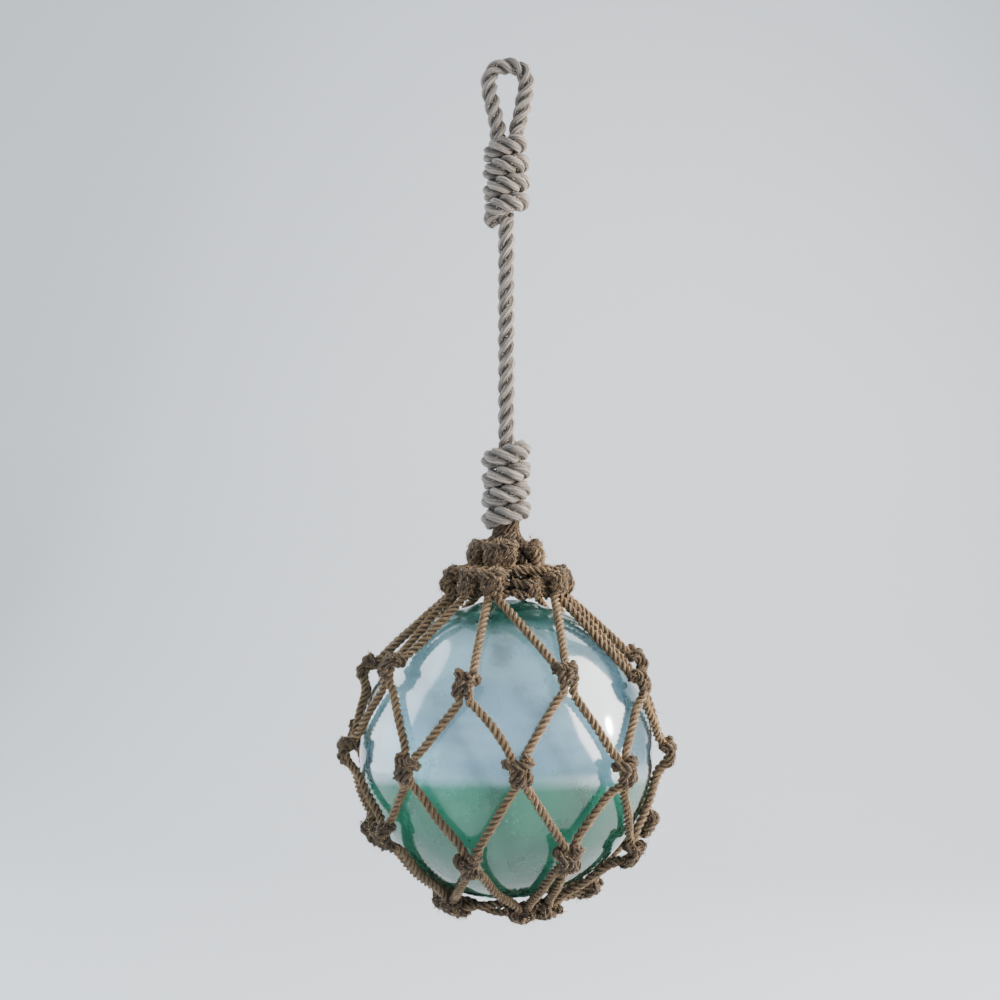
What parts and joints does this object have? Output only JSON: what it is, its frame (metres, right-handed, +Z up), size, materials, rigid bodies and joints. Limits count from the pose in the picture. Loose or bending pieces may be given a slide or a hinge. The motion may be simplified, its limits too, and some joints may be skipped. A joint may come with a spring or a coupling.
{
  "type": "glass net float on a rope hanger",
  "caption": "Hollow sea-green glass float ball in a knotted cord net, hung on a rope with a coiled knot at each end and an eye at the top.",
  "frame": {"origin": "inside the top of the rope's hanging eye, where a hook bears", "axes": "+Z up along the hanger rope, away from the ball; -Y is the front, +X to the right of it"},
  "size_m": [0.2278, 0.2272, 0.5892],
  "materials": {
    "sea_glass": "clear blue-green blown glass, slightly wavy",
    "net_cord": "dark brown three-strand hemp cord, hairy",
    "hanger_cordage": "grey-brown three-strand hemp rope, weathered"
  },
  "bodies": {
    "root": {"glass_float": "sea_glass", "net": "net_cord", "hanger_lower_coil": "hanger_cordage", "hanger_rope": "hanger_cordage", "hanger_upper_coil": "hanger_cordage", "hanger_eye": "hanger_cordage"}
  },
  "joints": []
}
